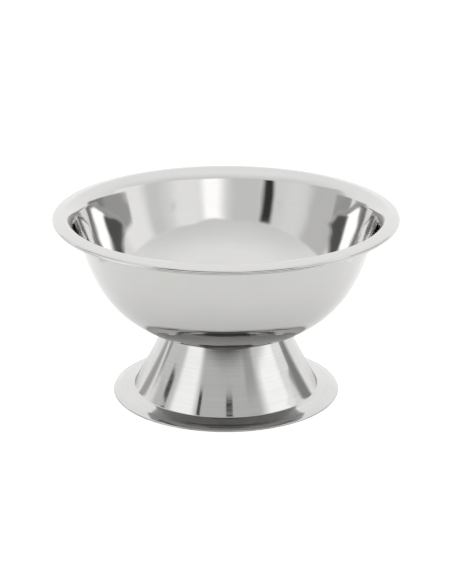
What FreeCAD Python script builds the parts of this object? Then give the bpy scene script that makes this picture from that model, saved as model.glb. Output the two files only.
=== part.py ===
"""Pedestal punch bowl in stainless sheet: a spun bowl with a wide crowned rim and a rolled edge,
spot-welded to a spun conical pedestal with a hemmed foot.

Millimetres, +Z up, origin on the table at the centre of the foot. Both sheets are bodies of revolution
about Z. Each is drawn as one face of the sheet and a parallel face one wall thickness away.
"""
import FreeCAD, Part
import math
import os
import Sketcher
from FreeCAD import Vector

# alias, value in millimetres, degrees or a count, what it is
SIZES = [
    ("rim_radius", 227.8, "outermost radius of the rolled edge"),
    ("overall_height", 248.6, "table to the crown of the rim"),
    ("rim_width", 14.4, "crown of the rim to the outermost edge, level"),
    ("rim_corner", 8.0, "top radius where the flare turns over into the rim"),
    ("rim_fall", 9.7, "slope of the rim, falling outwards, degrees"),
    ("edge_roll", 3.8, "outer radius of the rolled edge"),
    ("edge_turn", 285.0, "how far the edge is rolled, degrees"),
    ("bowl_wall", 0.8, "sheet thickness of the bowl"),
    ("bottom_radius", 87.4, "flat bottom of the bowl, underside"),
    ("knuckle_radius", 50.8, "bend from the flat bottom, underside"),
    ("knuckle_turn", 27.0, "degrees turned by the knuckle"),
    ("shoulder_radius", 238.8, "upper side of the bowl, outside"),
    ("shoulder_turn", 8.9, "degrees turned by the upper side"),
    ("side_length", 42.0, "straight part of the bowl's side, below the flare"),
    ("flare_radius", 30.5, "inside radius where the side flares out to the rim"),
    ("flare_turn", 31.0, "degrees turned by the flare"),
    ("pedestal_height", 93.7, "table to the underside of the bowl"),
    ("pedestal_wall", 0.8, "sheet thickness of the pedestal"),
    ("neck_inset", 5.4, "edge of the bowl's flat bottom in to the pedestal's neck"),
    ("ring_width", 22.0, "pedestal's top ring, from its opening out to the neck"),
    ("neck_bend", 2.5, "outer radius of the bend at the top of the cone"),
    ("cone_sweep", 800.0, "radius of the cone's faint inward curve"),
    ("crease_radius", 2.0, "crease between the cone and the ledge, outside"),
    ("ledge_height", 8.0, "table to the inner edge of the ledge"),
    ("ledge_fall", 8.0, "slope of the ledge, falling outwards, degrees"),
    ("foot_radius", 151.5, "outermost radius of the foot"),
    ("foot_flange", 26.9, "base of the cone out to the edge of the foot"),
    ("foot_curve", 30.0, "radius of the curve down to the table"),
    ("hem_bend", 1.2, "outer radius of the fold at the foot's edge"),
    ("hem_width", 5.0, "flat hem that lies on the table"),
    ("weld_radius", 2.5, "radius of one weld nugget"),
    ("weld_depth", 0.4, "how far a nugget reaches into each sheet"),
    ("weld_count", 8, "spot welds around the ring"),
]

VALUE = {alias: value for alias, value, note in SIZES}
NECK = "(Sizes.bottom_radius - Sizes.neck_inset)"
CONE_BASE = "(Sizes.foot_radius - Sizes.foot_flange)"
NECK_RADIUS = VALUE["bottom_radius"] - VALUE["neck_inset"]
CONE_BASE_RADIUS = VALUE["foot_radius"] - VALUE["foot_flange"]
# The welds sit in the middle of the ring's flat part.
WELD_CIRCLE = f"({NECK} - (Sizes.ring_width + Sizes.neck_bend) / 2)"
WELD_CIRCLE_RADIUS = NECK_RADIUS - (VALUE["ring_width"] + VALUE["neck_bend"]) / 2
ORIGIN = (-1, 1)  # the sketch's origin, as a point in a constraint
START, END, CENTRE = 1, 2, 3
HALVINGS = 60          # steps that close in on a turn, enough for the last decimal
SMALLEST_TURN = 0.01   # radians, where the search for a turn starts
SLACK = 0.05           # millimetres a finished extent may differ from its size

doc = FreeCAD.newDocument("punch_bowl")


def make_sheet():
    sheet = doc.addObject("Spreadsheet::Sheet", "Sizes")
    for row, (alias, value, note) in enumerate(SIZES, 1):
        sheet.set(f"A{row}", alias)
        sheet.set(f"B{row}", str(value))
        sheet.set(f"C{row}", note)
        sheet.setAlias(f"B{row}", alias)
    doc.recompute()


def origin_feature(body, role):
    return next(f for f in body.Origin.OriginFeatures if f.Role == role)


def make_body(name):
    body = doc.addObject("PartDesign::Body", name)
    body.Label = name
    return body


def sketch_on(body, role, name):
    sketch = body.newObject("Sketcher::SketchObject", name)
    sketch.AttachmentSupport = [(origin_feature(body, role), "")]
    sketch.MapMode = "FlatFace"
    return sketch


def bind(sketch, name, expression, *constraint):
    """Adds a named size to the sketch and ties it to the sheet."""
    index = sketch.addConstraint(Sketcher.Constraint(*constraint))
    sketch.renameConstraint(index, name)
    sketch.setExpression(f"Constraints.{name}", expression)


def ahead_of(heading):
    """The unit vector along a heading."""
    return Vector(math.cos(heading), math.sin(heading), 0)


def left_of(heading):
    """The unit vector to the left of a heading."""
    return Vector(-math.sin(heading), math.cos(heading), 0)


class Face:
    """One face of a sheet in section: lines and arcs, each tangent to the one before.

    moves holds ("line", length) and ("arc", radius, turn), turn positive to the left. offset shifts the
    whole face to its left, so the sheet's two faces are drawn from the same moves.
    """

    def __init__(self, sketch, start, moves, offset=0.0):
        self.sketch = sketch
        self.pieces = []
        heading = 0.0
        at = Vector(start[0], start[1] + offset, 0)
        for kind, size, *turn in moves:
            if kind == "line":
                at = self.line(at, heading, size)
            else:
                side = math.copysign(1, turn[0])
                at = self.arc(at, heading, size - side * offset, math.radians(turn[0]))
                heading += math.radians(turn[0])
        for before, after in zip(self.pieces, self.pieces[1:]):
            sketch.addConstraint(Sketcher.Constraint("Tangent", *self.last(before), *self.first(after)))

    def line(self, at, heading, length):
        far = at + ahead_of(heading) * length
        self.pieces.append((self.sketch.addGeometry(Part.LineSegment(at, far), False), START, END))
        return far

    def arc(self, at, heading, radius, turn):
        to_centre = left_of(heading) * math.copysign(1, turn)
        centre = at + to_centre * radius
        first = math.atan2(-to_centre.y, -to_centre.x)
        circle = Part.Circle(centre, Vector(0, 0, 1), radius)
        ends = (START, END) if turn > 0 else (END, START)
        angles = sorted((first, first + turn))
        arc = Part.ArcOfCircle(circle, *angles)
        self.pieces.append((self.sketch.addGeometry(arc, False), *ends))
        return centre + ahead_of(first + turn) * radius

    def first(self, piece):
        return piece[0], piece[1]

    def last(self, piece):
        return piece[0], piece[2]

    def index(self, place):
        return self.pieces[place][0]


def concentric(sketch, face, other, places):
    """Gives the arcs of the two faces the same centres."""
    for place in places:
        pair = (face.index(place), CENTRE, other.index(place), CENTRE)
        sketch.addConstraint(Sketcher.Constraint("Coincident", *pair))


def close_ends(sketch, face, other):
    """Joins the two faces with a line at the start and another at the end, and returns both."""
    lines = []
    for one, two in ((face.first(face.pieces[0]), other.first(other.pieces[0])),
                     (face.last(face.pieces[-1]), other.last(other.pieces[-1]))):
        line = Part.LineSegment(sketch.getPoint(*one), sketch.getPoint(*two))
        index = sketch.addGeometry(line, False)
        sketch.addConstraint(Sketcher.Constraint("Coincident", index, START, *one))
        sketch.addConstraint(Sketcher.Constraint("Coincident", index, END, *two))
        lines.append(index)
    return lines


def revolve(body, sketch, name):
    solid = body.newObject("PartDesign::Revolution", name)
    solid.Profile = sketch
    solid.ReferenceAxis = (sketch, ["V_Axis"])
    solid.Angle = 360
    doc.recompute()
    return solid


def halve(too_small, low, high):
    """The place between low and high where too_small stops being true."""
    for step in range(HALVINGS):
        middle = (low + high) / 2
        if too_small(middle):
            low = middle
        else:
            high = middle
    return middle


def belly_arc():
    """The radius and turn of the belly that let the side run on into the flare and the rim's corner."""
    knuckle = math.radians(VALUE["knuckle_turn"])
    shoulder = math.radians(VALUE["shoulder_turn"])
    flare = math.radians(VALUE["flare_turn"])
    bottom = Vector(VALUE["bottom_radius"], VALUE["pedestal_height"], 0)
    crown_radius = VALUE["rim_radius"] - VALUE["rim_width"]
    corner = Vector(crown_radius, VALUE["overall_height"] - VALUE["rim_corner"], 0)

    def belly(turn):
        low, high = knuckle + turn, knuckle + turn + shoulder
        side = ahead_of(high) * VALUE["side_length"]
        span = corner - side - bottom + left_of(high) * (VALUE["flare_radius"] - VALUE["bowl_wall"])
        span -= left_of(high - flare) * (VALUE["flare_radius"] - VALUE["rim_corner"])
        span -= (left_of(0) - left_of(knuckle)) * VALUE["knuckle_radius"]
        span -= (left_of(low) - left_of(high)) * VALUE["shoulder_radius"]
        across = left_of(knuckle) - left_of(low)
        radius = span.x / across.x
        return radius, span.y - across.y * radius

    turn = halve(lambda angle: belly(angle)[1] > 0, SMALLEST_TURN, math.pi / 2 - knuckle - shoulder)
    return belly(turn)[0], math.degrees(turn)


def make_bowl():
    body = make_body("bowl")
    sketch = sketch_on(body, "XZ_Plane", "bowl_section")
    wall = VALUE["bowl_wall"]
    belly_radius, belly_turn = belly_arc()
    slope = VALUE["knuckle_turn"] + belly_turn + VALUE["shoulder_turn"]
    inside_roll = VALUE["edge_roll"] - wall
    level = VALUE["rim_width"] - VALUE["edge_roll"]
    fall = math.radians(VALUE["rim_fall"])
    reach = (level - (VALUE["rim_corner"] - VALUE["edge_roll"]) * math.sin(fall)) / math.cos(fall)
    moves = [
        ("line", VALUE["bottom_radius"]),
        ("arc", VALUE["knuckle_radius"], VALUE["knuckle_turn"]),
        ("arc", belly_radius, belly_turn),
        ("arc", VALUE["shoulder_radius"], VALUE["shoulder_turn"]),
        ("line", VALUE["side_length"]),
        ("arc", VALUE["flare_radius"] - wall, -VALUE["flare_turn"]),
        ("arc", VALUE["rim_corner"] - wall, VALUE["flare_turn"] - slope - VALUE["rim_fall"]),
        ("line", reach),
        ("arc", inside_roll, -VALUE["edge_turn"]),
    ]
    bottom, knuckle, belly, shoulder, side, flare, corner, rim, roll = range(len(moves))
    start = (0, VALUE["pedestal_height"])
    under = Face(sketch, start, moves)
    top = Face(sketch, start, moves, wall)
    axis_line, edge_line = close_ends(sketch, under, top)

    def size(name, expression, *constraint):
        bind(sketch, name, expression, *constraint)

    for face in (under, top):
        sketch.addConstraint(Sketcher.Constraint("Horizontal", face.index(bottom)))
    sketch.addConstraint(Sketcher.Constraint("PointOnObject", axis_line, START, -2))
    sketch.addConstraint(Sketcher.Constraint("PointOnObject", axis_line, END, -2))
    size("stand", "Sizes.pedestal_height", "DistanceY", *ORIGIN, under.index(bottom), START,
         VALUE["pedestal_height"])
    size("flat", "Sizes.bottom_radius", "DistanceX", *ORIGIN, under.index(bottom), END,
         VALUE["bottom_radius"])
    for name, place in (("knuckle", knuckle), ("shoulder", shoulder)):
        size(name, f"Sizes.{name}_radius", "Radius", under.index(place), VALUE[f"{name}_radius"])
        size(f"{name}_sweep", f"Sizes.{name}_turn * 1 deg", "Angle", under.index(place),
             math.radians(VALUE[f"{name}_turn"]))
    size("side", "Sizes.side_length", "Distance", under.index(side), VALUE["side_length"])
    size("flare_under", "Sizes.flare_radius - Sizes.bowl_wall", "Radius", under.index(flare),
         VALUE["flare_radius"] - wall)
    size("flare_sweep", "Sizes.flare_turn * 1 deg", "Angle", under.index(flare),
         math.radians(VALUE["flare_turn"]))
    size("corner_under", "Sizes.rim_corner - Sizes.bowl_wall", "Radius", under.index(corner),
         VALUE["rim_corner"] - wall)
    size("crown", "Sizes.rim_radius - Sizes.rim_width", "DistanceX", *ORIGIN, under.index(corner), CENTRE,
         VALUE["rim_radius"] - VALUE["rim_width"])
    size("height", "Sizes.overall_height - Sizes.rim_corner", "DistanceY", *ORIGIN, under.index(corner),
         CENTRE, VALUE["overall_height"] - VALUE["rim_corner"])
    size("rim_slope", "-Sizes.rim_fall * 1 deg", "Angle", under.index(rim), -fall)
    size("roll_inside", "Sizes.edge_roll - Sizes.bowl_wall", "Radius", under.index(roll), inside_roll)
    size("roll_sweep", "Sizes.edge_turn * 1 deg", "Angle", under.index(roll),
         math.radians(VALUE["edge_turn"]))
    size("rim", "Sizes.rim_radius - Sizes.edge_roll", "DistanceX", *ORIGIN, under.index(roll), CENTRE,
         VALUE["rim_radius"] - VALUE["edge_roll"])

    size("thickness", "Sizes.bowl_wall", "DistanceY", axis_line, START, axis_line, END, wall)
    concentric(sketch, under, top, (knuckle, belly, shoulder, flare, corner, roll))
    size("flare_top", "Sizes.flare_radius", "Radius", top.index(flare), VALUE["flare_radius"])
    size("roll_outside", "Sizes.edge_roll", "Radius", top.index(roll), VALUE["edge_roll"])
    sketch.addConstraint(Sketcher.Constraint("PointOnObject", under.index(roll), CENTRE, edge_line))
    solid = revolve(body, sketch, "bowl_shell")
    weld_pockets(body, "bowl", solid, upwards=True)
    return body


def cone_arc():
    """How far the neck bends, and how far the cone then curves back, to run into the crease."""
    fall = math.radians(VALUE["ledge_fall"])
    crease = Vector(CONE_BASE_RADIUS, VALUE["ledge_height"], 0) + left_of(-fall) * VALUE["crease_radius"]
    bend_centre = VALUE["pedestal_height"] - VALUE["neck_bend"]

    def to_crease(turn):
        neck = Vector(NECK_RADIUS, bend_centre + VALUE["neck_bend"] * math.cos(turn), 0)
        return neck + left_of(-turn) * VALUE["cone_sweep"] - crease

    reach = VALUE["cone_sweep"] - VALUE["crease_radius"]
    turn = halve(lambda angle: to_crease(angle).Length > reach, fall, math.pi / 2)
    end = to_crease(turn)
    return math.degrees(turn), math.degrees(turn - math.atan2(end.x, end.y))


def foot_arc():
    """The length of the ledge, and how far the foot curves from it, to run into the hem's fold."""
    fall = math.radians(VALUE["ledge_fall"])
    hem = Vector(VALUE["foot_radius"] - VALUE["hem_bend"], VALUE["hem_bend"], 0)
    start = Vector(CONE_BASE_RADIUS, VALUE["ledge_height"], 0) - left_of(-fall) * VALUE["foot_curve"] - hem
    along = start.x * math.cos(fall) - start.y * math.sin(fall)
    gap = (VALUE["foot_curve"] - VALUE["hem_bend"]) ** 2 - start.Length ** 2
    ledge = -along - math.sqrt(along ** 2 + gap)
    end = -start - ahead_of(-fall) * ledge
    return ledge, math.degrees(math.atan2(end.x, end.y) - fall)


def make_pedestal():
    body = make_body("pedestal")
    sketch = sketch_on(body, "XZ_Plane", "pedestal_section")
    wall = VALUE["pedestal_wall"]
    fall = VALUE["ledge_fall"]
    ring_start = NECK_RADIUS - VALUE["ring_width"]
    top_turn, cone_turn = cone_arc()
    ledge, foot_turn = foot_arc()
    ring_end = NECK_RADIUS - VALUE["neck_bend"] * math.sin(math.radians(top_turn))
    moves = [
        ("line", ring_end - ring_start),
        ("arc", VALUE["neck_bend"], -top_turn),
        ("arc", VALUE["cone_sweep"], cone_turn),
        ("arc", VALUE["crease_radius"], top_turn - cone_turn - fall),
        ("line", ledge),
        ("arc", VALUE["foot_curve"], -foot_turn),
        ("arc", VALUE["hem_bend"], fall + foot_turn - 180),
        ("line", VALUE["hem_width"]),
    ]
    ring, neck, cone, crease, shelf, curve, hem, sole = range(len(moves))
    start = (ring_start, VALUE["pedestal_height"])
    outside = Face(sketch, start, moves)
    inside = Face(sketch, start, moves, -wall)
    ring_edge, hem_edge = close_ends(sketch, outside, inside)

    def size(name, expression, *constraint):
        bind(sketch, name, expression, *constraint)

    for face in (outside, inside):
        sketch.addConstraint(Sketcher.Constraint("Horizontal", face.index(ring)))
        sketch.addConstraint(Sketcher.Constraint("Horizontal", face.index(sole)))
    sketch.addConstraint(Sketcher.Constraint("Vertical", ring_edge))
    sketch.addConstraint(Sketcher.Constraint("Vertical", hem_edge))
    size("height", "Sizes.pedestal_height", "DistanceY", *ORIGIN, ring_edge, START,
         VALUE["pedestal_height"])
    size("opening", f"{NECK} - Sizes.ring_width", "DistanceX", *ORIGIN, ring_edge, START, ring_start)
    for name, place in (("neck_bend", neck), ("cone_sweep", cone), ("crease_radius", crease),
                        ("foot_curve", curve), ("hem_bend", hem)):
        size(f"{name}_outside", f"Sizes.{name}", "Radius", outside.index(place), VALUE[name])
    size("neck", NECK, "DistanceX", *ORIGIN, *outside.last(outside.pieces[neck]), NECK_RADIUS)
    size("cone_base", CONE_BASE, "DistanceX", *ORIGIN, outside.index(shelf), START, CONE_BASE_RADIUS)
    size("ledge", "Sizes.ledge_height", "DistanceY", *ORIGIN, outside.index(shelf), START,
         VALUE["ledge_height"])
    size("ledge_slope", "-Sizes.ledge_fall * 1 deg", "Angle", outside.index(shelf), -math.radians(fall))
    size("foot", "Sizes.foot_radius - Sizes.hem_bend", "DistanceX", *ORIGIN, outside.index(hem), CENTRE,
         VALUE["foot_radius"] - VALUE["hem_bend"])
    sketch.addConstraint(Sketcher.Constraint("PointOnObject", outside.index(sole), START, -1))
    size("hem", "Sizes.hem_width", "DistanceX", outside.index(sole), END, outside.index(sole), START,
         VALUE["hem_width"])

    size("thickness", "Sizes.pedestal_wall", "DistanceY", ring_edge, END, ring_edge, START, wall)
    concentric(sketch, outside, inside, (neck, cone, crease, curve, hem))
    size("curve_inside", "Sizes.foot_curve - Sizes.pedestal_wall", "Radius", inside.index(curve),
         VALUE["foot_curve"] - wall)
    solid = revolve(body, sketch, "pedestal_shell")
    weld_pockets(body, "pedestal", solid, upwards=False)
    return body


def weld_disc(body, name):
    """A circle at the first weld, in the plane where the two sheets meet."""
    sketch = sketch_on(body, "XY_Plane", f"{name}_weld")
    sketch.setExpression("AttachmentOffset.Base.z", "Sizes.pedestal_height")
    at = Vector(WELD_CIRCLE_RADIUS, 0, 0)
    circle = sketch.addGeometry(Part.Circle(at, Vector(0, 0, 1), VALUE["weld_radius"]), False)
    sketch.addConstraint(Sketcher.Constraint("PointOnObject", circle, CENTRE, -1))
    bind(sketch, "circle", WELD_CIRCLE, "DistanceX", *ORIGIN, circle, CENTRE, WELD_CIRCLE_RADIUS)
    bind(sketch, "nugget", "Sizes.weld_radius", "Radius", circle, VALUE["weld_radius"])
    return sketch


def repeat_around(body, feature, name):
    pattern = body.newObject("PartDesign::PolarPattern", name)
    pattern.Originals = [feature]
    pattern.Axis = (origin_feature(body, "Z_Axis"), [""])
    pattern.Angle = 360
    pattern.setExpression("Occurrences", "Sizes.weld_count")
    body.Tip = pattern
    doc.recompute()


def weld_pockets(body, name, solid, upwards):
    """Cuts the seat of each weld nugget into the face that meets the other sheet."""
    before = solid.Shape.Volume
    pocket = body.newObject("PartDesign::Pocket", f"{name}_seat")
    pocket.Profile = weld_disc(body, name)
    pocket.Reversed = upwards
    pocket.setExpression("Length", "Sizes.weld_depth")
    doc.recompute()
    repeat_around(body, pocket, f"{name}_seats")
    seats = VALUE["weld_count"] * math.pi * VALUE["weld_radius"] ** 2 * VALUE["weld_depth"]
    if abs(before - body.Shape.Volume - seats) > seats / 100:
        raise RuntimeError(f"{name}: the weld seats were not cut")


def make_spot_welds():
    """The nuggets of fused metal, half in each sheet."""
    body = make_body("spot_welds")
    body.AllowCompound = True
    nugget = body.newObject("PartDesign::Pad", "nugget")
    nugget.Profile = weld_disc(body, "nugget")
    nugget.SideType = "Symmetric"
    nugget.setExpression("Length", "2 * Sizes.weld_depth")
    doc.recompute()
    repeat_around(body, nugget, "nuggets")
    return body


def check(bodies):
    """Stops before anything is written if an object or a sub-part's shape is faulty."""
    doc.recompute()
    for item in doc.Objects:
        if "Invalid" in item.State or "Error" in item.State:
            raise RuntimeError(f"{item.Name} failed: {item.State}")
    for body in bodies:
        if body.Shape.isNull() or not body.Shape.isValid():
            raise RuntimeError(f"{body.Label}: its shape is not valid")
    bowl, pedestal = (body.Shape.optimalBoundingBox() for body in bodies[:2])
    for what, found, wanted in (("rim radius", bowl.XMax, VALUE["rim_radius"]),
                                ("overall height", bowl.ZMax, VALUE["overall_height"]),
                                ("bowl's underside", bowl.ZMin, VALUE["pedestal_height"]),
                                ("foot radius", pedestal.XMax, VALUE["foot_radius"]),
                                ("pedestal's top", pedestal.ZMax, VALUE["pedestal_height"]),
                                ("table", pedestal.ZMin, 0.0)):
        if abs(found - wanted) > SLACK:
            raise RuntimeError(f"{what} came out at {found:.2f}, not {wanted:.2f}")


make_sheet()
sub_parts = [make_bowl(), make_pedestal(), make_spot_welds()]
check(sub_parts)
os.makedirs("parts", exist_ok=True)
for sub_part in sub_parts:
    sub_part.Shape.exportStep(f"parts/{sub_part.Label}.step")
    box = sub_part.Shape.optimalBoundingBox()
    print(f"{sub_part.Label}: {len(sub_part.Shape.Solids)} solids, {sub_part.Shape.Volume:.0f} mm3, "
          f"r {box.XMax:.2f}, z {box.ZMin:.2f} to {box.ZMax:.2f}")
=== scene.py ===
"""Pedestal punch bowl: two spun sheets of stainless steel on a pale table in a light tent.

Metres, +Z up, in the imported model's own frame. The bowl and the pedestal are drawn in section and spun,
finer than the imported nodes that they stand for, because polished metal shows every facet.
"""

import math

import bpy
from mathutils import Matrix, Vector


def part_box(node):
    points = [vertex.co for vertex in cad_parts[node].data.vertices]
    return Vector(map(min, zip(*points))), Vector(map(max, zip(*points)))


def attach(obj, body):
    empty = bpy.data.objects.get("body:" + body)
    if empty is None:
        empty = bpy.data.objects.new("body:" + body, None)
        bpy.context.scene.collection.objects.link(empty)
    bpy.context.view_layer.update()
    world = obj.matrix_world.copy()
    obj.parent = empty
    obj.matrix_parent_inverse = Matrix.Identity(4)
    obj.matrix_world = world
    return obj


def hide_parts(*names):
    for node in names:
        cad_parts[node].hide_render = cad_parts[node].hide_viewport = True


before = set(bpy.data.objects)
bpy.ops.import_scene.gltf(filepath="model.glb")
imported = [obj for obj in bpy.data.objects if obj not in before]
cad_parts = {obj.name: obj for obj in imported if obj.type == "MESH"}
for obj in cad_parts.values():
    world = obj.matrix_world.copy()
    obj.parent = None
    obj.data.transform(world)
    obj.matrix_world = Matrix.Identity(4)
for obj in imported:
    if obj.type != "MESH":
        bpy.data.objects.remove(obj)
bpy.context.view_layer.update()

MM = 0.001
ROUND_STEPS = 288              # segments round each sheet
FACET = 4 * MM                 # longest facet along a section
ARC_STEP = math.radians(2.0)
TIGHT_BEND = 12 * MM           # bends tighter than this get coarser steps
TIGHT_STEP = math.radians(7.5)
SMOOTH_UP_TO = math.radians(40)

# The sheets in section: lengths in millimetres, turns in degrees, left turns positive.
SHEET = 0.8
BOWL_SECTION = [
    ("line", 87.4),                # flat bottom
    ("bend", 50.8, 27.0),          # knuckle
    ("bend", 141.72, 35.144),      # belly
    ("bend", 238.8, 8.9),          # shoulder
    ("line", 42.0),                # straight side
    ("bend", 29.7, -31.0),         # flare
    ("bend", 7.2, -49.744),        # corner
    ("line", 10.036),              # rim
    ("bend", 3.0, -285.0),         # rolled edge
]
OPENING = 60.0                     # radius of the hole inside the pedestal's ring
PEDESTAL_SECTION = [
    ("line", 19.699),              # ring that the bowl is welded to
    ("bend", 2.5, -67.01),         # neck
    ("bend", 800.0, 6.65),         # cone
    ("bend", 2.0, 52.36),          # crease
    ("line", 15.961),              # ledge
    ("bend", 30.0, -21.244),       # foot
    ("bend", 1.2, -150.756),       # fold of the hem
    ("line", 5.0),                 # hem, flat on the table
]
FIT = 0.3 * MM                     # a spun sheet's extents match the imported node's this closely


# ---------------------------------------------------------------- modelling


def deselect():
    bpy.ops.object.select_all(action="DESELECT")


class Template:
    """A section in the XZ plane, drawn like a spinner's template by extruding and spinning one point."""

    def __init__(self, name, start):
        deselect()
        bpy.ops.mesh.primitive_plane_add(size=MM, location=start)
        self.piece = bpy.context.object
        self.piece.name = name
        bpy.ops.object.mode_set(mode="EDIT")
        bpy.ops.mesh.select_mode(type="VERT")
        bpy.ops.mesh.merge(type="CENTER")
        self.at = Vector(start)
        self.heading = 0.0

    def line(self, length):
        steps = max(1, math.ceil(length / FACET))
        stride = Vector((math.cos(self.heading), 0, math.sin(self.heading))) * (length / steps)
        for step in range(steps):
            bpy.ops.mesh.extrude_region_move(TRANSFORM_OT_translate={"value": stride})
        self.at += stride * steps

    def bend(self, radius, turn):
        side = math.copysign(1, turn)
        to_centre = Vector((-math.sin(self.heading), 0, math.cos(self.heading))) * side
        centre = self.at + to_centre * radius
        if radius < TIGHT_BEND:
            steps = math.ceil(abs(turn) / TIGHT_STEP)
        else:
            steps = math.ceil(max(abs(turn) / ARC_STEP, abs(turn) * radius / FACET))
        bpy.ops.mesh.spin(steps=max(2, steps), angle=turn, center=centre, axis=(0, 1, 0))
        self.heading += turn
        self.at = centre + Vector((math.sin(self.heading), 0, -math.cos(self.heading))) * side * radius

    def follow(self, moves):
        for kind, size, *turn in moves:
            if kind == "line":
                self.line(size * MM)
            else:
                self.bend(size * MM, math.radians(turn[0]))

    def turn_back(self, wall):
        """Crosses the sheet's cut edge, to the left, and faces back the way it came."""
        quarter = math.copysign(math.pi / 2, wall)
        self.heading += quarter
        self.line(abs(wall) * MM)
        self.heading += quarter


def way_back(moves, wall):
    """The same moves along the sheet's other face, from the far end."""
    back = []
    for kind, size, *turn in reversed(moves):
        if kind == "line":
            back.append((kind, size))
        else:
            back.append((kind, size - math.copysign(1, turn[0]) * wall, -turn[0]))
    return back


def spin_sheet(name, start, moves, wall):
    """A sheet of even thickness, spun about Z. The wall lies left of the moves, or right if negative."""
    template = Template(name, start)
    template.follow(moves)
    template.turn_back(wall)
    template.follow(way_back(moves, wall))
    if start[0] > 0:
        template.turn_back(wall)
    bpy.ops.mesh.select_all(action="SELECT")
    bpy.ops.mesh.spin(steps=ROUND_STEPS, angle=math.tau, center=(0, 0, 0), axis=(0, 0, 1))
    bpy.ops.mesh.select_all(action="SELECT")
    bpy.ops.mesh.remove_doubles(threshold=0.01 * MM)
    bpy.ops.mesh.normals_make_consistent(inside=False)
    bpy.ops.object.mode_set(mode="OBJECT")
    bpy.ops.object.transform_apply(location=True, rotation=True, scale=True)
    bpy.ops.object.shade_smooth_by_angle(angle=SMOOTH_UP_TO)
    return template.piece


def check_fit(piece, node):
    """Stops if the spun sheet isn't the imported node's size."""
    low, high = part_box(node)
    for axis in range(3):
        places = [point.co[axis] for point in piece.data.vertices]
        if abs(min(places) - low[axis]) > FIT or abs(max(places) - high[axis]) > FIT:
            raise RuntimeError(f"{piece.name} spans {min(places)} to {max(places)}, unlike {node}")


# ---------------------------------------------------------------- node helpers


def feed(tree, socket, value):
    """Gives a socket a fixed value or another node's output."""
    if isinstance(value, bpy.types.NodeSocket):
        tree.links.new(value, socket)
    else:
        socket.default_value = value


def maths(tree, operation, *inputs):
    """A Math node. Each input is a number or another node's output."""
    node = tree.nodes.new("ShaderNodeMath")
    node.operation = operation
    for socket, value in zip(node.inputs, inputs):
        feed(tree, socket, value)
    return node.outputs[0]


def ease(tree, value, start, end, low=0.0, high=1.0):
    """Goes smoothly from low to high as the value goes from start to end."""
    node = tree.nodes.new("ShaderNodeMapRange")
    node.interpolation_type = "SMOOTHSTEP"
    for name, source in (("Value", value), ("From Min", start), ("From Max", end),
                         ("To Min", low), ("To Max", high)):
        feed(tree, node.inputs[name], source)
    return node.outputs["Result"]


def blend_to(tree, value, other, mask):
    """The first value where the mask is 0 and the other where it is 1."""
    node = tree.nodes.new("ShaderNodeMix")
    for socket, source in zip((node.inputs[0], node.inputs[2], node.inputs[3]), (mask, value, other)):
        feed(tree, socket, source)
    return node.outputs[0]


def blend_colours(tree, colour, other, mask):
    """The first colour where the mask is 0 and the other where it is 1."""
    node = tree.nodes.new("ShaderNodeMix")
    node.data_type = "RGBA"
    for socket, source in zip((node.inputs[0], node.inputs[6], node.inputs[7]), (mask, colour, other)):
        feed(tree, socket, source)
    return node.outputs[2]


def place_on(tree, coordinate):
    """X, Y and Z of the piece's own or the world's coordinates."""
    source = tree.nodes.new("ShaderNodeTexCoord")
    split = tree.nodes.new("ShaderNodeSeparateXYZ")
    tree.links.new(source.outputs[coordinate], split.inputs[0])
    return split.outputs["X"], split.outputs["Y"], split.outputs["Z"]


def vector_of(tree, x, y, z):
    node = tree.nodes.new("ShaderNodeCombineXYZ")
    for socket, value in zip(node.inputs, (x, y, z)):
        tree.links.new(value, socket)
    return node.outputs[0]


def noise(tree, place, scale, detail=2.0):
    node = tree.nodes.new("ShaderNodeTexNoise")
    node.inputs["Scale"].default_value = scale
    node.inputs["Detail"].default_value = detail
    tree.links.new(place, node.inputs["Vector"])
    return node.outputs["Fac"]


def radius_of(tree, x, y):
    """Distance from the bowl's axis, or the length of any two sides at a right angle."""
    squares = maths(tree, "MULTIPLY_ADD", x, x, maths(tree, "MULTIPLY", y, y))
    return maths(tree, "SQRT", squares)


def bearing(tree, x, y):
    """Degrees round from the front of the bowl, positive to its right."""
    turn = maths(tree, "ARCTAN2", x, maths(tree, "MULTIPLY", y, -1.0))
    return maths(tree, "MULTIPLY", turn, math.degrees(1))


def seen_twice(tree):
    """1 for light that the steel mirrors more than once, and otherwise 0."""
    path = tree.nodes.new("ShaderNodeLightPath")
    return maths(tree, "GREATER_THAN", path.outputs["Glossy Depth"], 1.5)


def hang(tree, light, across, up, boards):
    """Lays boards over a light, each (middle, half width, soft edge, low, high, soft edge, brightness)."""
    for middle, half, side_soft, low, high, end_soft, brightness in boards:
        off = maths(tree, "ABSOLUTE", maths(tree, "SUBTRACT", across, middle))
        mask = ease(tree, off, half + side_soft, half - side_soft)
        mask = maths(tree, "MULTIPLY", mask, ease(tree, up, low - end_soft, low + end_soft))
        mask = maths(tree, "MULTIPLY", mask, ease(tree, up, high + end_soft, high - end_soft))
        light = blend_to(tree, light, brightness, mask)
    return light


# ---------------------------------------------------------------- studio

TENT_COLOUR = (1.0, 0.998, 0.994, 1)
LOW_CEILING, HIGH_CEILING = 0.90, 1.26     # brightness at the next two heights, in degrees up
CEILING_FROM, CEILING_TO = 15, 60
BACK_WALLS = 1.25
WALLS_FROM, WALLS_TO = 40, 130             # degrees round, from the ceiling's light to the walls'
TENT_SEEN_TWICE = 0.75                     # how much of the tent a second mirroring keeps

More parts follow.
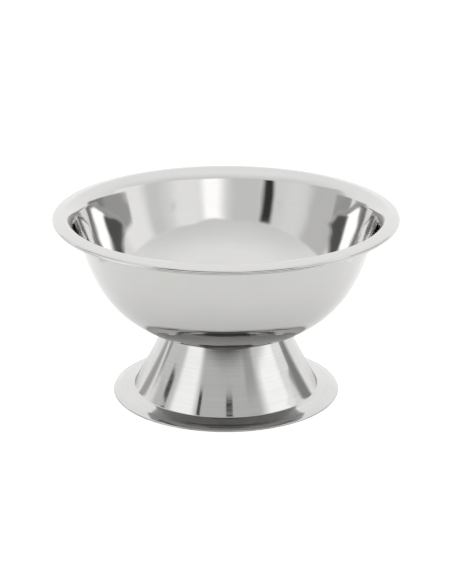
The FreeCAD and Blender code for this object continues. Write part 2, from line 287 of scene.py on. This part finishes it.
# Boards on the tent: degrees round from the front, degrees up, and brightness.
TENT_BOARDS = [
    (0, 100, 6, -5, 27.0, 0.7, 1.05),      # front of the tent, below the ceiling
    (-17, 12, 4, -5, 27.0, 0.7, 0.90),     # grey board
    (12, 9, 6, -5, 27.0, 0.7, 1.75),       # bright gap
    (33, 12, 6, -5, 27.0, 0.7, 1.27),      # pale board
    (-58, 8, 5, -5, 27.0, 0.7, 1.10),      # pale board, left
    (61, 7, 5, -5, 26.0, 1.0, 0.94),       # soft grey fold
    (84, 14, 6, -5, 26.0, 1.5, 1.32),      # right side
    (99, 15, 1.5, -5, 12.5, 1.5, 0.50),    # its dull end
    (-88, 16, 5, -5, 26.0, 1.0, 0.80),     # left side
    (-104, 8, 2, -5, 10.0, 2.0, 0.50),     # its dull end
    (119, 9.5, 3, 3.5, 12, 2.0, 0.34),     # narrow fold behind, right
    (-125, 8, 3, 1, 8, 2.0, 0.55),         # narrow fold behind, left
    (-35, 4.8, 2.5, -5, 26.0, 1.0, 0.05),  # dark fold
    (0, 46, 3, -2, 16.5, 1.5, 0.02),       # dark room through the front opening
]
# What a second mirroring shows instead, alike on both sides: degrees off the front, up, and brightness.
STRIP_LIGHTS = [
    (93, 9, 2, -5, 30, 2, 1.8),            # side strip
    (80, 4, 1.5, -5, 30, 2, 0.45),         # gap beside it
    (57, 12, 4, 12, 34, 2, 3.2),           # front strip
    (27, 5, 3, 20, 40, 3, 0.35),           # gap beside it
    (0, 42, 4, 14, 75, 5, 0.22),           # dim ceiling in front
    (0, 46, 3, -5, 14, 2.5, 0.05),         # dark room
]

SLEEVE_RADIUS = 0.30
SLEEVE_MIDDLE = 0.146
SLEEVE_DEPTH = 0.108
SLEEVE_STEPS = 180
SLEEVE_REACH = 92                          # degrees either side of the front
SLEEVE_LIGHT = 0.9
SLEEVE_SEEN_TWICE = 0.22
# Boards on the sleeve: degrees round from the front, metres up, and brightness.
SLEEVE_BOARDS = [
    (4, 35, 3, 0.05, 0.25, 0.002, 0.74),          # grey front
    (31, 6, 3, 0.145, 0.25, 0.015, 0.55),         # its darker side
    (-48, 13, 4, 0.05, 0.25, 0.002, 1.52),        # white board, left
    (60, 16, 6, 0.05, 0.158, 0.012, 1.58),        # white board, right
    (86, 9, 2, 0.05, 0.25, 0.002, 1.25),          # pale end, right
    (3.7, 3.6, 0.5, 0.138, 0.152, 0.001, 0.02),   # black tab
    (-29.5, 1.8, 0.6, 0.12, 0.148, 0.002, 0.06),  # black strip
    (-72.0, 3.6, 1.5, 0.05, 0.120, 0.005, 0.08),  # black strip, left
    (8, 46, 10, 0.183, 0.25, 0.011, 0.02),        # shade under the bowl
]

TABLE_SIZE = 16
TABLE_COLOUR = (0.80, 0.80, 0.79, 1)
BLACK = (0, 0, 0, 1)
# painted shade: the table's colour and glow are darker where the steel mirrors it twice, standing in for
# the shadow under the bowl
TABLE_SHADE_SEEN_TWICE = 0.70
FOOT_SHADE = 148 * MM                      # the foot's contact shade, as far out as this
FOOT_SHADE_EDGE = 14 * MM
FOOT_SHADE_LIGHT = 0.5
TABLE_GLOW = 0.27
CAMERA_GLOW = 0.30                         # more of it, that only the camera sees

CAMERA_AT = (0, -2.4434, 1.0180)
CAMERA_DOWN = 19.836
CAMERA_LENS = 120.37
CAMERA_SENSOR = 36


def light_tent():
    """Soft even light from all round, a little dimmer low at the front, with boards round the front."""
    world = bpy.data.worlds.new("light_tent")
    bpy.context.scene.world = world
    world.use_nodes = True
    tree = world.node_tree
    x, y, z = place_on(tree, "Generated")
    up = maths(tree, "MULTIPLY", maths(tree, "ARCSINE", z), math.degrees(1))
    across = bearing(tree, x, y)
    off = maths(tree, "ABSOLUTE", across)
    ceiling = ease(tree, up, CEILING_FROM, CEILING_TO, LOW_CEILING, HIGH_CEILING)
    light = blend_to(tree, ceiling, BACK_WALLS, ease(tree, off, WALLS_FROM, WALLS_TO))
    light = hang(tree, light, across, up, TENT_BOARDS)
    dim = maths(tree, "MULTIPLY", ceiling, TENT_SEEN_TWICE)
    strips = hang(tree, dim, off, up, STRIP_LIGHTS)
    light = blend_to(tree, light, strips, seen_twice(tree))
    background = tree.nodes["Background"]
    background.inputs["Color"].default_value = TENT_COLOUR
    tree.links.new(light, background.inputs["Strength"])


def keep_front(piece, degrees):
    """Deletes the faces further round than so many degrees from the front."""
    bpy.ops.object.mode_set(mode="EDIT")
    bpy.ops.mesh.select_mode(type="FACE")
    bpy.ops.mesh.select_all(action="DESELECT")
    bpy.ops.object.mode_set(mode="OBJECT")
    for face in piece.data.polygons:
        round_by = math.degrees(math.atan2(face.center.x, -face.center.y))
        face.select = abs(round_by) > degrees
    bpy.ops.object.mode_set(mode="EDIT")
    bpy.ops.mesh.delete(type="FACE")
    bpy.ops.object.mode_set(mode="OBJECT")


def sleeve_boards():
    """Grey, white and black boards, dimmer where the steel mirrors them twice."""
    material = bpy.data.materials.new("sleeve_boards")
    material.use_nodes = True
    tree = material.node_tree
    tree.nodes.remove(tree.nodes["Principled BSDF"])
    x, y, z = place_on(tree, "Object")
    light = hang(tree, SLEEVE_LIGHT, bearing(tree, x, y), z, SLEEVE_BOARDS)
    kept = ease(tree, seen_twice(tree), 0.0, 1.0, 1.0, SLEEVE_SEEN_TWICE)
    glow = tree.nodes.new("ShaderNodeEmission")
    tree.links.new(maths(tree, "MULTIPLY", light, kept), glow.inputs["Strength"])
    tree.links.new(glow.outputs[0], tree.nodes["Material Output"].inputs["Surface"])
    return material


def sleeve():
    """Boards close round the front of the pedestal, seen only in the steel."""
    deselect()
    bpy.ops.mesh.primitive_cylinder_add(vertices=SLEEVE_STEPS, radius=SLEEVE_RADIUS, depth=SLEEVE_DEPTH,
                                        end_fill_type="NOTHING", location=(0, 0, SLEEVE_MIDDLE))
    piece = bpy.context.object
    piece.name = "sleeve_of_boards"
    keep_front(piece, SLEEVE_REACH)
    bpy.ops.object.transform_apply(location=True, rotation=True, scale=True)
    piece.data.materials.append(sleeve_boards())
    piece.visible_camera = False
    piece.visible_diffuse = False
    piece.visible_shadow = False


def pale_table():
    """Finely grained and pale, white to the camera, and in the steel darker round the foot and under the
    bowl, where shade is painted into its colour and glow.
    """
    material = bpy.data.materials.new("pale_table")
    material.use_nodes = True
    tree = material.node_tree
    shader = tree.nodes["Principled BSDF"]
    for_camera = tree.nodes.new("ShaderNodeLightPath").outputs["Is Camera Ray"]
    x, y, z = place_on(tree, "Object")
    radius = radius_of(tree, x, y)
    shade = ease(tree, radius, FOOT_SHADE, FOOT_SHADE + FOOT_SHADE_EDGE, FOOT_SHADE_LIGHT, 1.0)
    # painted shade under the bowl, seen only in a second mirroring
    shade = blend_to(tree, shade, TABLE_SHADE_SEEN_TWICE, seen_twice(tree))
    shade = blend_to(tree, shade, 1.0, for_camera)
    grain = ease(tree, noise(tree, vector_of(tree, x, y, z), 160.0), 0.3, 0.7, 0.97, 1.0)
    shade = maths(tree, "MULTIPLY", shade, grain)
    tree.links.new(blend_colours(tree, BLACK, TABLE_COLOUR, shade), shader.inputs["Base Color"])
    shader.inputs["Roughness"].default_value = 0.9
    shader.inputs["Specular IOR Level"].default_value = 0.0
    shader.inputs["Emission Color"].default_value = (1, 1, 1, 1)
    glow = maths(tree, "MULTIPLY_ADD", for_camera, CAMERA_GLOW, TABLE_GLOW)
    tree.links.new(maths(tree, "MULTIPLY", glow, shade), shader.inputs["Emission Strength"])
    return material


def table():
    """A plain table top that reaches past the picture."""
    deselect()
    bpy.ops.mesh.primitive_plane_add(size=TABLE_SIZE, location=(0, 2, 0))
    piece = bpy.context.object
    piece.name = "table_top"
    bpy.ops.object.transform_apply(location=True, rotation=True, scale=True)
    piece.data.materials.append(pale_table())


def camera():
    """Stands in front and looks down at the bowl."""
    view = bpy.data.cameras.new("camera")
    stand = bpy.data.objects.new("camera", view)
    bpy.context.collection.objects.link(stand)
    stand.location = CAMERA_AT
    stand.rotation_euler = (math.radians(90 - CAMERA_DOWN), 0, 0)
    view.lens = CAMERA_LENS
    view.sensor_width = CAMERA_SENSOR
    bpy.context.scene.camera = stand


# ---------------------------------------------------------------- shared effects

TURN_STRETCH = 0.012           # how quickly a spin line changes, per degree round the piece
WELD_CIRCLE = 71 * MM
WELD_COUNT = 8
TINT_INNER = 2 * MM            # the heat tint fades between these distances from a weld
TINT_OUTER = 8 * MM
RING_UNDER = (91.5 * MM, 92.5 * MM)    # the tint begins between these heights, under the ring


def new_effect(name, inputs, outputs):
    """An empty node group with its own number sockets."""
    effect = bpy.data.node_groups.new(name, "ShaderNodeTree")
    for label in inputs:
        effect.interface.new_socket(label, in_out="INPUT", socket_type="NodeSocketFloat")
    for label in outputs:
        effect.interface.new_socket(label, in_out="OUTPUT", socket_type="NodeSocketFloat")
    entry = effect.nodes.new("NodeGroupInput")
    way_out = effect.nodes.new("NodeGroupOutput")
    return effect, entry.outputs, way_out.inputs


def use_effect(tree, effect, **values):
    """Puts a shared effect in a tree and returns its outputs."""
    node = tree.nodes.new("ShaderNodeGroup")
    node.node_tree = effect
    for label, value in values.items():
        feed(tree, node.inputs[label], value)
    return node.outputs


def spin_lines():
    """Fine rings left by the spinner's tool, long round the piece and narrow along its section."""
    effect, given, result = new_effect("spin_lines", ["X", "Y", "Z", "Fineness"], ["Lines"])
    radius = maths(effect, "MULTIPLY", radius_of(effect, given["X"], given["Y"]), given["Fineness"])
    height = maths(effect, "MULTIPLY", given["Z"], given["Fineness"])
    turn = maths(effect, "MULTIPLY", bearing(effect, given["X"], given["Y"]), TURN_STRETCH)
    rings = noise(effect, vector_of(effect, radius, height, turn), 1.0)
    effect.links.new(ease(effect, rings, 0.30, 0.70), result["Lines"])
    return effect


def handling_marks():
    """Soft smudges left by hands, and fine straight scratches."""
    effect, given, result = new_effect("handling_marks", ["X", "Y", "Z"], ["Smudges", "Scratches"])
    place = vector_of(effect, given["X"], given["Y"], given["Z"])
    effect.links.new(ease(effect, noise(effect, place, 22.0, 4.0), 0.42, 0.66), result["Smudges"])
    across = maths(effect, "MULTIPLY", given["X"], 900.0)
    slant = maths(effect, "MULTIPLY", given["X"], 35.0)
    along = maths(effect, "MULTIPLY_ADD", given["Y"], 60.0, slant)
    up = maths(effect, "MULTIPLY", given["Z"], 60.0)
    streaks = noise(effect, vector_of(effect, across, along, up), 1.0, 1.0)
    effect.links.new(ease(effect, streaks, 0.68, 0.76), result["Scratches"])
    return effect


def hand_spun_waves():
    """The slow unevenness of a sheet spun by hand, which bends what it mirrors."""
    effect, given, result = new_effect("hand_spun_waves", ["X", "Y", "Z"], ["Waves"])
    place = vector_of(effect, given["X"], given["Y"], given["Z"])
    effect.links.new(noise(effect, place, 36.0, 0.0), result["Waves"])
    return effect


def weld_tint():
    """Faint straw-coloured rings round each spot weld, 1 at the weld and 0 away from it."""
    effect, given, result = new_effect("weld_tint", ["X", "Y", "Z"], ["Tint"])
    step = 360.0 / WELD_COUNT
    turn = maths(effect, "ADD", bearing(effect, given["X"], given["Y"]), step / 2)
    within = maths(effect, "SUBTRACT", maths(effect, "FLOORED_MODULO", turn, step), step / 2)
    sideways = maths(effect, "MULTIPLY", within, math.radians(1) * WELD_CIRCLE)
    outwards = maths(effect, "SUBTRACT", radius_of(effect, given["X"], given["Y"]), WELD_CIRCLE)
    away = radius_of(effect, sideways, outwards)
    near = ease(effect, away, TINT_OUTER, TINT_INNER)
    level = ease(effect, given["Z"], *RING_UNDER)
    effect.links.new(maths(effect, "MULTIPLY", near, level), result["Tint"])
    return effect


# ---------------------------------------------------------------- finishes

BRIGHT_STEEL = (0.575, 0.572, 0.566, 1)
GREY_STEEL = (0.515, 0.511, 0.503, 1)
HEAT_TINT = (0.42, 0.30, 0.17, 1)
BOWL_FINENESS = 620.0
PEDESTAL_FINENESS = 900.0
# The satin finish covers the top of the rim, between these radii and above this height.
RIM_TOP = 242 * MM
RIM_INSIDE = 200 * MM
RIM_OUTSIDE = 224.5 * MM


def new_steel(name):
    """A metal material, its node tree and its shader, with the colour, roughness and bump still to link."""
    material = bpy.data.materials.new(name)
    material.use_nodes = True
    tree = material.node_tree
    shader = tree.nodes["Principled BSDF"]
    shader.inputs["Metallic"].default_value = 1.0
    return material, tree, shader


def wear(tree, lines, marks, line_share, smudge_share, scratch_share):
    """How worn the polish is, from its spin lines, smudges and scratches."""
    worn = maths(tree, "MULTIPLY", marks["Smudges"], smudge_share)
    worn = maths(tree, "MULTIPLY_ADD", lines, line_share, worn)
    return maths(tree, "MULTIPLY_ADD", marks["Scratches"], scratch_share, worn)


def relief(tree, shader, height):
    """Bumps the surface by a height in millimetres."""
    node = tree.nodes.new("ShaderNodeBump")
    node.inputs["Distance"].default_value = MM
    tree.links.new(height, node.inputs["Height"])
    tree.links.new(node.outputs["Normal"], shader.inputs["Normal"])


def satin_rim(tree, x, y, z):
    """1 on the top of the rim and 0 elsewhere."""
    radius = radius_of(tree, x, y)
    top = ease(tree, z, RIM_TOP, RIM_TOP + 3 * MM)
    inner = ease(tree, radius, RIM_INSIDE, RIM_INSIDE + 10 * MM)
    outer = ease(tree, radius, RIM_OUTSIDE, RIM_OUTSIDE - 3 * MM)
    return maths(tree, "MULTIPLY", maths(tree, "MULTIPLY", top, inner), outer)


def polished_bowl(effects):
    """Mirror polish with a satin rim, a little wavy, over faint spin lines."""
    material, tree, shader = new_steel("polished_bowl")
    x, y, z = place_on(tree, "Object")
    lines = use_effect(tree, effects["spin_lines"], X=x, Y=y, Z=z, Fineness=BOWL_FINENESS)["Lines"]
    marks = use_effect(tree, effects["handling_marks"], X=x, Y=y, Z=z)
    waves = use_effect(tree, effects["hand_spun_waves"], X=x, Y=y, Z=z)["Waves"]
    worn = wear(tree, lines, marks, 0.10, 0.10, 0.12)
    tree.links.new(blend_colours(tree, BRIGHT_STEEL, GREY_STEEL, worn), shader.inputs["Base Color"])
    rough = maths(tree, "MULTIPLY_ADD", satin_rim(tree, x, y, z), 0.17, 0.05)
    rough = maths(tree, "MULTIPLY_ADD", worn, 0.12, rough)
    tree.links.new(rough, shader.inputs["Roughness"])
    height = maths(tree, "MULTIPLY", waves, 0.30)
    relief(tree, shader, maths(tree, "MULTIPLY_ADD", lines, 0.0012, height))
    return material


def spun_pedestal(effects):
    """Polished steel with plain tool lines, heat-tinted round the welds."""
    material, tree, shader = new_steel("spun_pedestal")
    x, y, z = place_on(tree, "Object")
    lines = use_effect(tree, effects["spin_lines"], X=x, Y=y, Z=z, Fineness=PEDESTAL_FINENESS)["Lines"]
    marks = use_effect(tree, effects["handling_marks"], X=x, Y=y, Z=z)
    tint = use_effect(tree, effects["weld_tint"], X=x, Y=y, Z=z)["Tint"]
    worn = wear(tree, lines, marks, 0.42, 0.25, 0.20)
    colour = blend_colours(tree, BRIGHT_STEEL, GREY_STEEL, worn)
    tree.links.new(blend_colours(tree, colour, HEAT_TINT, tint), shader.inputs["Base Color"])
    tree.links.new(maths(tree, "MULTIPLY_ADD", worn, 0.12, 0.045), shader.inputs["Roughness"])
    relief(tree, shader, maths(tree, "MULTIPLY", lines, 0.0035))
    return material


def weld_nugget(effects):
    """Pressed steel, dull and straw-tinted where the electrodes heated it."""
    material, tree, shader = new_steel("weld_nugget")
    x, y, z = place_on(tree, "Object")
    marks = use_effect(tree, effects["handling_marks"], X=x, Y=y, Z=z)
    grain = noise(tree, vector_of(tree, x, y, z), 1800.0, 3.0)
    tree.links.new(blend_colours(tree, GREY_STEEL, HEAT_TINT, grain), shader.inputs["Base Color"])
    rough = maths(tree, "MULTIPLY_ADD", marks["Smudges"], 0.15, 0.35)
    tree.links.new(rough, shader.inputs["Roughness"])
    relief(tree, shader, maths(tree, "MULTIPLY", grain, 0.02))
    return material


# ---------------------------------------------------------------- pieces


def make_bowl(effects):
    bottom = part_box("bowl")[0].z
    bowl = spin_sheet("bowl_spun", (0, 0, bottom), BOWL_SECTION, SHEET)
    check_fit(bowl, "bowl")
    bowl.data.materials.append(polished_bowl(effects))
    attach(bowl, "root")
    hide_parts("bowl")


def make_pedestal(effects):
    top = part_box("pedestal")[1].z
    pedestal = spin_sheet("pedestal_spun", (OPENING * MM, 0, top), PEDESTAL_SECTION, -SHEET)
    check_fit(pedestal, "pedestal")
    pedestal.data.materials.append(spun_pedestal(effects))
    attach(pedestal, "root")
    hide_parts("pedestal")


def finish_welds(effects):
    """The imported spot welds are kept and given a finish."""
    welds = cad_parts["spot_welds"]
    welds.data.materials.clear()
    welds.data.materials.append(weld_nugget(effects))


bpy.context.scene.view_settings.view_transform = "Standard"
camera()
light_tent()
sleeve()
table()
shared = {
    "spin_lines": spin_lines(),
    "handling_marks": handling_marks(),
    "hand_spun_waves": hand_spun_waves(),
    "weld_tint": weld_tint(),
}
make_bowl(shared)
make_pedestal(shared)
finish_welds(shared)
